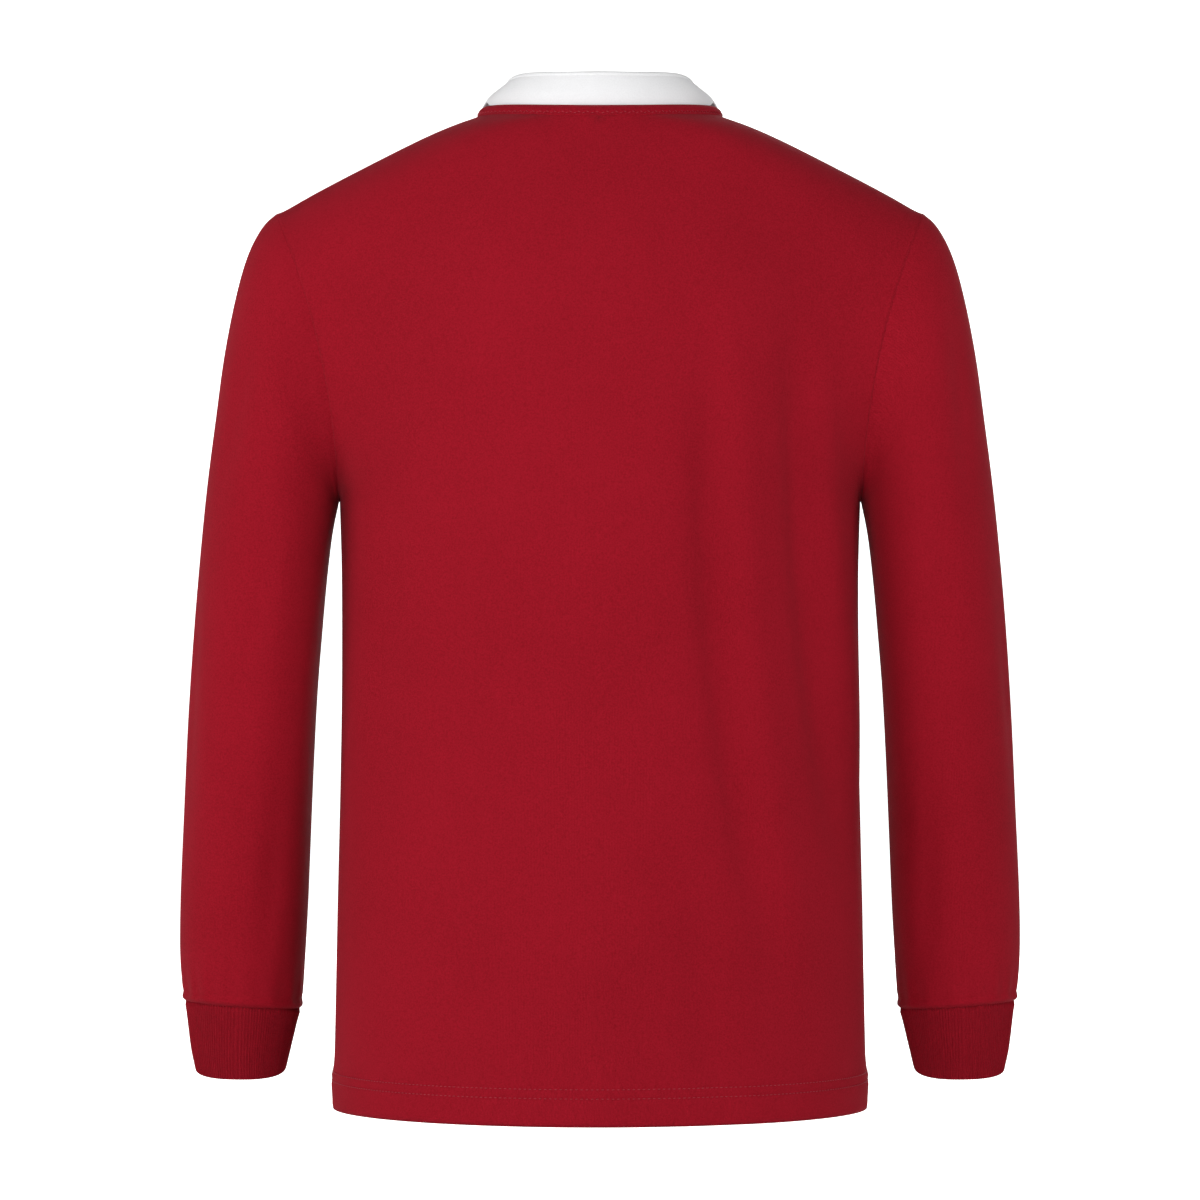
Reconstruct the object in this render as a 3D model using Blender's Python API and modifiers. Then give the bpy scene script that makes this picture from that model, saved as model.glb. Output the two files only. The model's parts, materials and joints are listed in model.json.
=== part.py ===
"""A long-sleeved rugby shirt, filled out as it is worn, with nobody in it.

Metres, +Z up. The front of the shirt faces -Y and the wearer's left is +X. The origin lies at the
middle of the neck, at the level where the shoulder seams meet it. Every piece that a maker would cut
and sew is its own solid: a wall of cloth through sections worked out from the sizes below.
"""

from collections import namedtuple
from math import cos, exp, pi, radians, sin

import bmesh
import bpy
from mathutils import Vector

# ---- Driving sizes -------------------------------------------------------------------------------

JERSEY = 0.0018            # thickness of the body and sleeve cloth
RIB = 0.0022               # thickness of the cuff rib
TWILL = 0.0016             # thickness of the collar cloth
BINDING = 0.0030           # thickness of the doubled neck binding
SEAM_GAP = 0.0003          # free space between neighbouring pieces

# The body, from the hem up to the underarm: an upright half ellipse at the back and one at the front.
BodySection = namedtuple("BodySection", "height half_width back_depth front_depth")
BODY_SECTIONS = (
    BodySection(-0.726, 0.1945, 0.122, 0.125),
    BodySection(-0.600, 0.1920, 0.119, 0.122),
    BodySection(-0.450, 0.1888, 0.114, 0.121),
    BodySection(-0.340, 0.1885, 0.116, 0.126),
    BodySection(-0.283, 0.1900, 0.119, 0.128),
)

# The armhole: a tilted oval from the underarm over the shoulder tip, scooped towards the body.
UNDERARM = Vector((0.1900, 0.0, -0.2830))
SHOULDER_TIP = Vector((0.2360, 0.0, -0.0745))
SHOULDER_CROWN = 0.0034        # how far the shoulder seam arches over the straight line
ARMHOLE_HALF_DEPTH = 0.066
ARMHOLE_SCOOP = 0.012
ARMHOLE_ORDER = 0.03                   # the sleeve starts this share of a ring away from it
SHOULDER_SEAM_TURN = radians(190)      # the seam lies a little to the front of the shoulder ridge

# Rings round the neck: the edge of the panels, then the top of the binding above it.
NeckRing = namedtuple("NeckRing", "half_width side_y side_z back_y back_z front_y front_z")
PANEL_EDGE = NeckRing(0.0890, -0.008, -0.0030, 0.0690, -0.0090, -0.0940, -0.0770)
NECK_RIM = NeckRing(0.0860, -0.008, 0.0035, 0.0640, -0.0020, -0.0890, -0.0700)
NECK_SEAM_TURN = radians(97)
SHOULDER_TRIM = 0.0025                 # share of a row by which each panel stops short of that seam
BINDING_RISE = 0.0014                  # how far above the edge of the panels the binding starts
BINDING_PROUD = 0.0008                 # how far it stands out from them

# How the strips of a panel run from the armhole to the middle. turn is the share of the way up from
# the underarm to the shoulder seam, swing is how far a strip has turned from straight back or front
# towards the middle, and the two reaches are shares of its length.
Strip = namedtuple("Strip", "turn swing armhole_reach middle_reach")
BACK_STRIPS = (
    Strip(0.00, 0.00, 0.300, 0.470),
    Strip(0.20, 0.46, 0.330, 0.460),
    Strip(0.45, 0.78, 0.340, 0.420),
    Strip(0.70, 0.90, 0.335, 0.360),
    Strip(1.00, 1.00, 0.333, 0.333),
)
FRONT_STRIPS = (
    Strip(0.00, 0.00, 0.300, 0.470),
    Strip(0.20, 0.46, 0.330, 0.460),
    Strip(0.45, 0.78, 0.340, 0.420),
    Strip(0.70, 0.90, 0.335, 0.360),
    Strip(1.00, 1.00, 0.333, 0.333),
)
BACK_NECK_START = 10 / 18    # share of the strips that end below the neck, back and front
FRONT_NECK_START = 9 / 18

# Points on the middle of the back and of the chest, from the underarm up to the neck.
MiddlePoint = namedtuple("MiddlePoint", "height depth")
BACK_MIDDLE = (
    MiddlePoint(-0.283, 0.119),
    MiddlePoint(-0.200, 0.119),
    MiddlePoint(-0.120, 0.109),
    MiddlePoint(-0.060, 0.092),
    MiddlePoint(-0.009, 0.069),
)
FRONT_MIDDLE = (
    MiddlePoint(-0.283, 0.128),
    MiddlePoint(-0.215, 0.128),
    MiddlePoint(-0.140, 0.117),
    MiddlePoint(-0.077, 0.094),
)

# The sleeve: oval rings from the armhole to the cuff seam. Each has its outermost and innermost point
# in the front view, its half depth, how far its middle lies to the back, its forward tilt in degrees
# and its squareness (1 is an ellipse, smaller is squarer).
SleeveRing = namedtuple(
    "SleeveRing", "order outer_x outer_z inner_x inner_z half_depth middle_y tilt squareness"
)
SLEEVE_RINGS = (
    SleeveRing(0, 0.2360, -0.0745, 0.1900, -0.2830, 0.066, 0.000, 0, 1.00),
    SleeveRing(1, 0.2475, -0.0865, 0.1908, -0.2850, 0.067, 0.000, 0, 1.00),
    SleeveRing(2, 0.2575, -0.1070, 0.1914, -0.2880, 0.068, 0.000, 0, 1.00),
    SleeveRing(3, 0.2660, -0.1380, 0.1925, -0.2930, 0.068, 0.000, 0, 0.98),
    SleeveRing(4, 0.2740, -0.1790, 0.1942, -0.3010, 0.067, -0.001, 1, 0.96),
    SleeveRing(5, 0.2802, -0.2240, 0.1965, -0.3150, 0.066, -0.002, 2, 0.95),
    SleeveRing(6, 0.2861, -0.2680, 0.1998, -0.3430, 0.064, -0.004, 3, 0.94),
    SleeveRing(7, 0.2914, -0.3150, 0.2032, -0.3790, 0.062, -0.007, 4, 0.93),
    SleeveRing(8, 0.2970, -0.3750, 0.2070, -0.4240, 0.060, -0.011, 6, 0.92),
    SleeveRing(9, 0.3018, -0.4400, 0.2101, -0.4760, 0.058, -0.017, 7, 0.92),
    SleeveRing(10, 0.3056, -0.5080, 0.2128, -0.5290, 0.055, -0.025, 7, 0.92),
    SleeveRing(11, 0.3090, -0.5720, 0.2154, -0.5800, 0.052, -0.033, 5, 0.92),
    SleeveRing(12, 0.3100, -0.6190, 0.2182, -0.6230, 0.050, -0.039, 1, 0.92),
    SleeveRing(13, 0.3078, -0.6520, 0.2212, -0.6585, 0.048, -0.043, -3, 0.92),
)
CUFF_RINGS = (
    SleeveRing(0, 0.3060, -0.6526, 0.2226, -0.6591, 0.0465, -0.0432, -3, 0.88),
    SleeveRing(1, 0.3046, -0.6710, 0.2262, -0.6755, 0.0440, -0.0462, 0, 0.86),
    SleeveRing(2, 0.3027, -0.6875, 0.2298, -0.6905, 0.0420, -0.0490, 4, 0.84),
    SleeveRing(3, 0.2996, -0.7025, 0.2330, -0.7035, 0.0400, -0.0517, 7, 0.80),
)

# The largest folds. A fold is a soft trough that runs down a panel, bowed sideways in the middle;
# side is +1 on the back and -1 on the front. width is the half width of the trough.
Fold = namedtuple("Fold", "side top_x top_z foot_x foot_z bow width depth")
BODY_FOLDS = (
    Fold(1, -0.078, -0.170, -0.122, -0.600, 0.010, 0.016, 0.0042),
    Fold(1, -0.140, -0.160, -0.178, -0.560, 0.008, 0.014, 0.0055),
    Fold(-1, -0.132, -0.180, -0.150, -0.520, -0.008, 0.017, 0.0045),
    Fold(-1, 0.120, -0.170, 0.096, -0.470, 0.009, 0.018, 0.0040),
)

# The collar: a section for each turn round the neck, in degrees from the middle of the back. fold is
# the top of the fold and bow the control point that rounds the fall, both measured outward from the
# neck rim and up from it. At the back the free edge of the fall stands at edge_out, edge_up, tucked
# inside the rim. At the front it lies on the chest: lay is 1 there, spread is how far it reaches along
# the panel towards the armhole, and drop how far down the panel.
CollarSection = namedtuple(
    "CollarSection", "turn fold_out fold_up bow_out bow_up edge_out edge_up lay spread drop"
)
COLLAR_SECTIONS = (
    CollarSection(0, -0.0130, 0.0250, -0.0040, 0.009, -0.0046, -0.001, 0.0, 0.00, 0.00),
    CollarSection(45, -0.0175, 0.0238, -0.0050, 0.009, -0.0050, -0.001, 0.0, 0.00, 0.00),
    CollarSection(80, -0.0205, 0.0202, -0.0055, 0.009, -0.0060, 0.001, 0.0, 0.00, 0.00),
    CollarSection(97, -0.0185, 0.0185, -0.0030, 0.011, -0.0020, 0.006, 0.0, 0.00, 0.00),
    CollarSection(112, -0.0130, 0.0165, 0.0075, 0.014, 0.0080, 0.006, 0.85, 0.083, 0.073),
    CollarSection(130, -0.0100, 0.0150, 0.0115, 0.014, 0.0080, 0.006, 1.0, 0.151, 0.081),
    CollarSection(150, -0.0080, 0.0135, 0.0130, 0.012, 0.0080, 0.006, 1.0, 0.250, 0.120),
    CollarSection(165, -0.0070, 0.0120, 0.0140, 0.010, 0.0080, 0.006, 1.0, 0.257, 0.134),
    CollarSection(175, -0.0060, 0.0110, 0.0140, 0.008, 0.0080, 0.006, 1.0, 0.221, 0.118),
)
COLLAR_END = radians(175)
COLLAR_FOOT = (0.0009, -0.0095)        # the foot of the stand, from the rim: outward and up
COLLAR_BEND = (-0.0078, -0.0010)       # where the stand turns inward behind the binding
COLLAR_LIFT = 0.0055                   # how far the leaves stay above the chest
FOLD_RADIUS = 0.0024

# The placket: two strips that close the slit at the front of the neck, and their buttons.
SLIT_FOOT_ROWS = 3         # rows from the underarm up to the foot of the slit
SLIT_HALF_WIDTH = 0.0130
PLACKET_HALF_WIDTH = 0.0165
PLACKET_THICKNESS = 0.0024
BUTTON_RADIUS = 0.0060
BUTTON_THICKNESS = 0.0026
BUTTON_CLIMBS = (1.44, 1.31, 1.18)

# How finely the pieces are divided.
LOWER_ROWS = 6             # from the hem to the underarm
UPPER_ROWS = 18            # from the underarm to the shoulder seam
HALF_COLUMNS = 8           # from a side seam to the middle
RING_POINTS = 36           # round a sleeve
SLEEVE_STEPS = 11          # along a sleeve
CUFF_STEPS = 2
BACK_NECK_STEPS = 8        # from the middle of the back to the shoulder seam
FRONT_NECK_STEPS = 9       # from the shoulder seam to the middle of the front
COLLAR_ROWS = 8
BINDING_ROWS = 2
BUTTON_SIDES = 16

# ---- Interpolation and materials -----------------------------------------------------------------


def between(table, position):
    """The row of a table at a position in its first column, on a smooth curve through the rows."""
    keys = [row[0] for row in table]
    rising = keys[-1] > keys[0]
    if not rising:
        table, keys = table[::-1], keys[::-1]
    position = min(max(position, keys[0]), keys[-1])
    low = max(i for i in range(len(keys) - 1) if keys[i] <= position)
    span = keys[low + 1] - keys[low]
    share = (position - keys[low]) / span

    def slope(index, column):
        before, after = max(index - 1, 0), min(index + 1, len(keys) - 1)
        return (table[after][column] - table[before][column]) / (keys[after] - keys[before])

    values = []
    for column in range(len(table[0])):
        start, end = table[low][column], table[low + 1][column]
        rise_in, rise_out = slope(low, column) * span, slope(low + 1, column) * span
        cube, square = share ** 3, share ** 2
        values.append(
            start * (2 * cube - 3 * square + 1) + rise_in * (cube - 2 * square + share)
            + end * (3 * square - 2 * cube) + rise_out * (cube - square)
        )
    return type(table[0])(*values)


def smooth_step(low, high, value):
    share = min(max((value - low) / (high - low), 0.0), 1.0)
    return share * share * (3 - 2 * share)


def power(value, exponent):
    """A power that keeps its sign, for squared-off ovals."""
    return abs(value) ** exponent * (1 if value >= 0 else -1)


def make_material(name, colour, roughness, metallic=0.0):
    material = bpy.data.materials.new(name)
    material.use_nodes = True
    shader = material.node_tree.nodes["Principled BSDF"]
    shader.inputs["Base Color"].default_value = (*colour, 1.0)
    shader.inputs["Roughness"].default_value = roughness
    shader.inputs["Metallic"].default_value = metallic
    return material


# ---- The shape of the body -----------------------------------------------------------------------


def armhole_point(angle):
    """A point on the left armhole: 0 at the underarm, rising over the back to pi at the shoulder."""
    middle = (UNDERARM + SHOULDER_TIP) / 2
    rise = (SHOULDER_TIP - UNDERARM) / 2
    inward = Vector((-rise.z, 0.0, rise.x)).normalized()
    depth = Vector((0.0, ARMHOLE_HALF_DEPTH * sin(angle), 0.0))
    return middle - rise * cos(angle) + depth + inward * ARMHOLE_SCOOP * sin(angle) ** 2


def neck_point(ring, turn):
    """A point on a neck ring: 0 at the middle of the back, pi at the middle of the front."""
    along = cos(turn)
    if along >= 0:
        y = ring.side_y + (ring.back_y - ring.side_y) * along
        z = ring.side_z + (ring.back_z - ring.side_z) * along ** 2
    else:
        y = ring.side_y + (ring.side_y - ring.front_y) * along
        z = ring.side_z + (ring.front_z - ring.side_z) * along ** 2
    return Vector((ring.half_width * power(sin(turn), 0.92), y, z))


def panel_row_ends(side, climb):
    """Where a strip starts at the armhole and ends at the middle or the neck. climb is 0 to 1."""
    if side > 0:
        turn = climb * SHOULDER_SEAM_TURN
        neck_start, neck_low, middle = BACK_NECK_START, 0.0, BACK_MIDDLE
    else:
        turn = 2 * pi - climb * (2 * pi - SHOULDER_SEAM_TURN)
        neck_start, neck_low, middle = FRONT_NECK_START, pi, FRONT_MIDDLE
    start = armhole_point(turn)
    if climb <= neck_start:
        height = middle[0].height + (middle[-1].height - middle[0].height) * climb / neck_start
        end = Vector((0.0, side * between(middle, height).depth, height))
    else:
        share = (climb - neck_start) / (1 - neck_start)
        end = neck_point(PANEL_EDGE, neck_low + (NECK_SEAM_TURN - neck_low) * share)
    return start, end


def strip_point(side, climb, inward):
    """A point on the upper part of a panel: climb from underarm to shoulder, inward from the armhole."""
    start, end = panel_row_ends(side, climb)
    strip = between(BACK_STRIPS if side > 0 else FRONT_STRIPS, climb)
    neck_start = BACK_NECK_START if side > 0 else FRONT_NECK_START
    across = (end - start).normalized()
    length = (end - start).length
    straight_out = Vector((0.0, float(side), 0.0))
    leave = (straight_out * (1 - strip.swing) + across * strip.swing).normalized()
    neck_share = smooth_step(neck_start, 1.0, climb)
    arrive = (Vector((1.0, 0.0, 0.0)) * (1 - neck_share) - across * neck_share).normalized()
    start = start + leave * SEAM_GAP
    first = start + leave * strip.armhole_reach * length
    second = end + arrive * strip.middle_reach * length
    rest = 1 - inward
    point = (
        start * rest ** 3 + first * 3 * rest ** 2 * inward
        + second * 3 * rest * inward ** 2 + end * inward ** 3
    )
    along = (start.x - point.x) / (start.x - end.x)
    crown = SHOULDER_CROWN * (1 - (2 * along - 1) ** 4) * smooth_step(0.5, 1.0, climb)
    return point + Vector((0.0, 0.0, crown))


def fold_offset(side, point):
    """How far the cloth sinks at a point, from the folds on its side of the body."""
    sink = 0.0
    for fold in BODY_FOLDS:
        if fold.side != side:
            continue
        share = (point.z - fold.top_z) / (fold.foot_z - fold.top_z)
        fade = smooth_step(-0.12, 0.25, share) * (1 - smooth_step(0.65, 1.15, share))
        line = fold.top_x + (fold.foot_x - fold.top_x) * share + fold.bow * sin(pi * share)
        sink += fold.depth * fade * exp(-(((point.x - line) / fold.width) ** 2))
    return sink


def panel_point(side, across, climb):
    """A point on the back (side +1) or front (side -1).

    across runs from -1 at the right seam over 0 in the middle to +1 at the left seam. climb runs from
    0 at the hem over 1 at the underarm to 2 at the shoulder seam.
    """
    inward = 1 - abs(across)
    if climb <= 1:
        height = BODY_SECTIONS[0].height + (UNDERARM.z - BODY_SECTIONS[0].height) * climb
        section = between(BODY_SECTIONS, height)
        depth = section.back_depth if side > 0 else section.front_depth
        angle = inward * pi / 2
        gap = SEAM_GAP * 1.6
        point = Vector((section.half_width * cos(angle), gap + (depth - gap) * sin(angle), height))
        point.y *= side
    else:
        point = strip_point(side, climb - 1, inward)
    if across < 0:
        point.x = -point.x
    level = Vector((point.x, point.y, 0.0)).normalized()
    return point - level * fold_offset(side, point)


def front_at(x, climb):
    """The point of the front panel that lies x from the middle on the row at a climb, and its normal."""
    low, high = 0.0, 1.0
    for _ in range(24):
        middle = (low + high) / 2
        if panel_point(-1, middle, climb).x < abs(x):
            low = middle
        else:
            high = middle
    across = low if x >= 0 else -low
    step = 0.004
    point = panel_point(-1, across, climb)
    upward = panel_point(-1, across, climb + step) - panel_point(-1, across, climb - step)
    sideways = panel_point(-1, across + step, climb) - panel_point(-1, across - step, climb)
    return point, sideways.cross(upward).normalized()


# ---- The shape of the sleeves, the binding and the collar ----------------------------------------


def sleeve_point(table, order, turn):
    """A point on the left sleeve or cuff: turn runs from the underarm seam over the back."""
    ring = between(table, order)
    outer = Vector((ring.outer_x, 0.0, ring.outer_z))
    inner = Vector((ring.inner_x, 0.0, ring.inner_z))
    middle = (outer + inner) / 2 + Vector((0.0, ring.middle_y, 0.0))
    rise = (outer - inner) / 2
    tilt = radians(ring.tilt)
    backward = Vector((0.0, cos(tilt), -sin(tilt))) * ring.half_depth
    point = middle - rise * power(cos(turn), ring.squareness)
    point += backward * power(sin(turn), ring.squareness)
    if table is SLEEVE_RINGS and order < 3:
        inward = Vector((-rise.z, 0.0, rise.x)).normalized()
        point += inward * ARMHOLE_SCOOP * sin(turn) ** 2 * (1 - order / 3) ** 2
    return point


def neck_frame(turn):
    """The point of the neck rim at a turn, and the level direction away from the neck there."""
    step = 0.01
    along = neck_point(NECK_RIM, turn + step) - neck_point(NECK_RIM, turn - step)
    return neck_point(NECK_RIM, turn), Vector((-along.y, along.x, 0.0)).normalized()


def neck_turn(step):
    """The turn of a step round the neck, where the strips of the panels end. 0 is the middle back."""
    if abs(step) <= BACK_NECK_STEPS:
        return NECK_SEAM_TURN * step / BACK_NECK_STEPS
    beyond = (abs(step) - BACK_NECK_STEPS) / FRONT_NECK_STEPS
    return (NECK_SEAM_TURN + (pi - NECK_SEAM_TURN) * beyond) * (1 if step > 0 else -1)


def fall_edge(turn, section, tucked):
    """The free edge of the fall at a turn: tucked behind the rim, or laid on the chest."""
    if section.lay <= 0.0:
        return tucked
    share = max(pi - turn, 0.0) / (pi - NECK_SEAM_TURN)
    climb = 1 + FRONT_NECK_START + (1 - FRONT_NECK_START) * min(share, 1.0) - section.drop
    step = 0.004
    point = panel_point(-1, section.spread, climb)
    upward = panel_point(-1, section.spread, climb + step) - point
    sideways = panel_point(-1, section.spread + step, climb) - point
    laid = point + sideways.cross(upward).normalized() * COLLAR_LIFT
    return tucked * (1 - section.lay) + laid * section.lay


def collar_point(turn, row):
    """A point on the middle of the collar cloth: row 0 at the foot of the stand, 8 at the free edge."""
    section = between(COLLAR_SECTIONS, abs(turn) * 180 / pi)
    rim, outward = neck_frame(abs(turn))

    def beside_rim(out, up):
        return rim + outward * out + Vector((0.0, 0.0, up))

    fold_low = section.fold_up - FOLD_RADIUS
    if row <= 2:
        stops = (COLLAR_FOOT, COLLAR_BEND, (section.fold_out - FOLD_RADIUS, fold_low))
        low = min(int(row), 1)
        start, end = beside_rim(*stops[low]), beside_rim(*stops[low + 1])
        point = start + (end - start) * (row - low)
    elif row <= 4:
        angle = pi * (row - 2) / 2
        point = beside_rim(
            section.fold_out - FOLD_RADIUS * cos(angle), fold_low + FOLD_RADIUS * sin(angle)
        )
    else:
        share = (row - 4) / 4
        start = beside_rim(section.fold_out + FOLD_RADIUS, fold_low)
        bow = beside_rim(section.bow_out, section.bow_up)
        end = fall_edge(abs(turn), section, beside_rim(section.edge_out, section.edge_up))
        point = start * (1 - share) ** 2 + bow * 2 * share * (1 - share) + end * share ** 2
    if turn < 0:
        point.x = -point.x
    return point


# ---- Making cloth --------------------------------------------------------------------------------


def cloth_object(name, columns, rows, places, thickness, material, drop=None, offset=-1.0):
    """A wall of cloth: grids whose points are placed by functions, welded and given a thickness.

    Each of places makes one grid. It takes two shares from 0 to 1, across the grid and up it. drop
    says which faces are cut out, from the shares at their middle.
    """
    mesh = bmesh.new()
    for place in places:
        grid = bmesh.ops.create_grid(mesh, x_segments=columns, y_segments=rows, size=0.5)["verts"]
        if drop:
            faces = {face for vertex in grid for face in vertex.link_faces}
            centre = Vector((0.5, 0.5, 0.0))
            cut = [face for face in faces if drop(place, face.calc_center_median() + centre)]
            bmesh.ops.delete(mesh, geom=cut, context="FACES")
        for vertex in grid:
            if vertex.is_valid:
                vertex.co = place(vertex.co.x + 0.5, vertex.co.y + 0.5)
    bmesh.ops.remove_doubles(mesh, verts=mesh.verts, dist=0.00002)
    bmesh.ops.triangulate(mesh, faces=mesh.faces)
    data = bpy.data.meshes.new(name)
    mesh.to_mesh(data)
    mesh.free()
    data.materials.append(material)
    data.shade_smooth()
    piece = bpy.data.objects.new(name, data)
    shirt.objects.link(piece)
    wall = piece.modifiers.new("Wall", "SOLIDIFY")
    wall.thickness = thickness
    wall.offset = offset
    wall.use_even_offset = True
    return piece


def row_climb(share):
    """Grid rows shared out between the part below the underarm and the part above it."""
    row = share * (LOWER_ROWS + UPPER_ROWS)
    climb = row / LOWER_ROWS if row <= LOWER_ROWS else 1 + (row - LOWER_ROWS) / UPPER_ROWS
    return min(climb, 2 - SHOULDER_TRIM)


def make_back(material):
    def left(x_share, y_share):
        return panel_point(1, 1 - x_share, row_climb(y_share))

    def right(x_share, y_share):
        return panel_point(1, -max(x_share, 1e-9), row_climb(y_share))

    rows = LOWER_ROWS + UPPER_ROWS
    return cloth_object("back", HALF_COLUMNS, rows, (left, right), JERSEY, material)


def slit_edge(climb):
    """How far across the front panel the edge of the slit lies, on the row at a climb."""
    low, high = 0.0, 0.3
    for _ in range(24):
        middle = (low + high) / 2
        if panel_point(-1, middle, climb).x < SLIT_HALF_WIDTH:
            low = middle
        else:
            high = middle
    return high


def make_front(material):
    """The front panel. Its two middle columns are as wide as the slit, which is cut out of them."""
    slit_foot = LOWER_ROWS + SLIT_FOOT_ROWS
    slit_top = LOWER_ROWS + UPPER_ROWS * FRONT_NECK_START

    def across(share, climb):
        first = slit_edge(min(max(climb, 1.0), 1 + FRONT_NECK_START))
        column = share * HALF_COLUMNS
        if column < 1:
            return first * column
        return first + (1 - first) * (column - 1) / (HALF_COLUMNS - 1)

    def left(x_share, y_share):
        return panel_point(-1, across(x_share, row_climb(y_share)), row_climb(y_share))

    def right(x_share, y_share):
        away = max(across(1 - x_share, row_climb(y_share)), 1e-9)
        return panel_point(-1, -away, row_climb(y_share))

    def in_slit(place, middle):
        from_middle = middle.x if place is left else 1 - middle.x
        row = middle.y * (LOWER_ROWS + UPPER_ROWS)
        return from_middle * HALF_COLUMNS < 1 and slit_foot < row < slit_top + 1

    rows = LOWER_ROWS + UPPER_ROWS
    return cloth_object(
        "front", HALF_COLUMNS, rows, (left, right), JERSEY, material, drop=in_slit
    )


def make_sleeve(name, side, table, steps, thickness, material):
    """A sleeve or cuff as a tube round its rings. side is +1 for the left one, -1 for the right."""
    last = table[-1].order
    armhole = ARMHOLE_ORDER if table is SLEEVE_RINGS else 0.0

    def place(x_share, y_share):
        turn = 2 * pi * (x_share if side < 0 else 1 - x_share)
        point = sleeve_point(table, last - (last - armhole) * y_share, turn)
        if armhole and y_share > 0.99:
            point.x += SEAM_GAP * (1 + cos(turn))
        return Vector((point.x * side, point.y, point.z))

    return cloth_object(name, RING_POINTS, steps, (place,), thickness, material)


def make_binding(material):
    steps = BACK_NECK_STEPS + FRONT_NECK_STEPS - 1

    def place(x_share, y_share):
        turn = neck_turn(steps * (1 - 2 * x_share))
        low, high = neck_point(PANEL_EDGE, abs(turn)), neck_point(NECK_RIM, abs(turn))
        foot = BINDING_RISE / (high - low).length
        share = foot + (1 - foot) * y_share
        point = low + (high - low) * share + neck_frame(abs(turn))[1] * BINDING_PROUD
        if turn < 0:
            point.x = -point.x
        return point

    return cloth_object("neck_binding", 2 * steps, BINDING_ROWS, (place,), BINDING, material)


def make_collar(material):
    steps = BACK_NECK_STEPS + FRONT_NECK_STEPS

    def place(x_share, y_share):
        turn = neck_turn(steps * (1 - 2 * x_share))
        turn = min(max(turn, -COLLAR_END), COLLAR_END)
        return collar_point(turn, COLLAR_ROWS * y_share)

    return cloth_object("collar", 2 * steps, COLLAR_ROWS, (place,), TWILL, material, offset=0.0)


def make_placket(name, half_width, lift, foot_climb, thickness, material):
    """A placket strip, made from the points of the front panel moved out by lift."""
    top_climb = 1 + FRONT_NECK_START
    rows = round((top_climb - foot_climb) * UPPER_ROWS)
    to_rim = neck_point(NECK_RIM, pi) - neck_point(PANEL_EDGE, pi)

    def place(x_share, y_share):
        row = min(y_share * (rows + 1) / rows, 1.0)
        climb = foot_climb + (top_climb - foot_climb) * row
        point, normal = front_at((2 * x_share - 1) * half_width, climb - 0.004)
        beyond = max(y_share * (rows + 1) - rows, 0.0)
        return point + normal * (lift + BINDING_PROUD * 2.5 * beyond) + to_rim * beyond

    return cloth_object(name, 2, rows + 1, (place,), thickness, material)


def make_button(number, climb, material):
    point, normal = front_at(0.0, climb)
    mesh = bmesh.new()
    bmesh.ops.create_cone(
        mesh, cap_ends=True, segments=BUTTON_SIDES, radius1=BUTTON_RADIUS, radius2=BUTTON_RADIUS,
        depth=BUTTON_THICKNESS,
    )
    bmesh.ops.bevel(
        mesh, geom=[edge for edge in mesh.edges if edge.calc_face_angle() > 1.0], offset=0.0006,
        segments=1, profile=0.5, affect="EDGES", material=-1,
    )
    data = bpy.data.meshes.new(f"button_{number}")
    mesh.to_mesh(data)
    mesh.free()
    data.materials.append(material)
    data.shade_smooth()
    data.set_sharp_from_angle(angle=radians(40))
    button = bpy.data.objects.new(f"button_{number}", data)
    button.rotation_euler = normal.to_track_quat("Z", "Y").to_euler()
    button.location = point + normal * (3 * SEAM_GAP + PLACKET_THICKNESS + BUTTON_THICKNESS / 2)
    shirt.objects.link(button)
    return button


# ---- Building ------------------------------------------------------------------------------------

for old in list(bpy.data.objects):
    bpy.data.objects.remove(old, do_unlink=True)

shirt = bpy.data.collections.new("rugby_shirt")
bpy.context.scene.collection.children.link(shirt)

red_knit = make_material("red_knit", (0.26, 0.006, 0.014), 0.85)
red_rib = make_material("red_rib", (0.24, 0.006, 0.013), 0.85)
white_twill = make_material("white_twill", (0.86, 0.86, 0.87), 0.80)
button_plastic = make_material("button_plastic", (0.80, 0.79, 0.76), 0.35)

make_back(red_knit)
make_front(red_knit)
for name, side in (("left", 1), ("right", -1)):
    make_sleeve(f"sleeve_{name}", side, SLEEVE_RINGS, SLEEVE_STEPS, JERSEY, red_knit)
    make_sleeve(f"cuff_{name}", side, CUFF_RINGS, CUFF_STEPS, RIB, red_rib)
make_binding(red_knit)
make_collar(white_twill)
slit_foot_climb = 1 + SLIT_FOOT_ROWS / UPPER_ROWS
make_placket(
    "placket_under", SLIT_HALF_WIDTH - SEAM_GAP, 0.0, slit_foot_climb + 0.012, JERSEY, red_knit
)
make_placket(
    "placket_upper", PLACKET_HALF_WIDTH, 2 * SEAM_GAP + PLACKET_THICKNESS,
    slit_foot_climb - 1 / UPPER_ROWS, PLACKET_THICKNESS, red_knit,
)
for number, climb in enumerate(BUTTON_CLIMBS, start=1):
    make_button(number, climb, button_plastic)
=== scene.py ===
# %% [markdown]
# # A rugby shirt in red jersey with a white folded collar
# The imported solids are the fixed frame: they say where every piece of cloth lies. This lesson puts a
# fine shell of cloth over each of them, with its creases, seams, ribs and stitches. The frame comes
# first because every later cell takes its places from it.

import json
from collections import namedtuple
from math import cos, exp, pi, radians, sin

import bmesh
import bpy
from mathutils import Matrix, Vector

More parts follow.
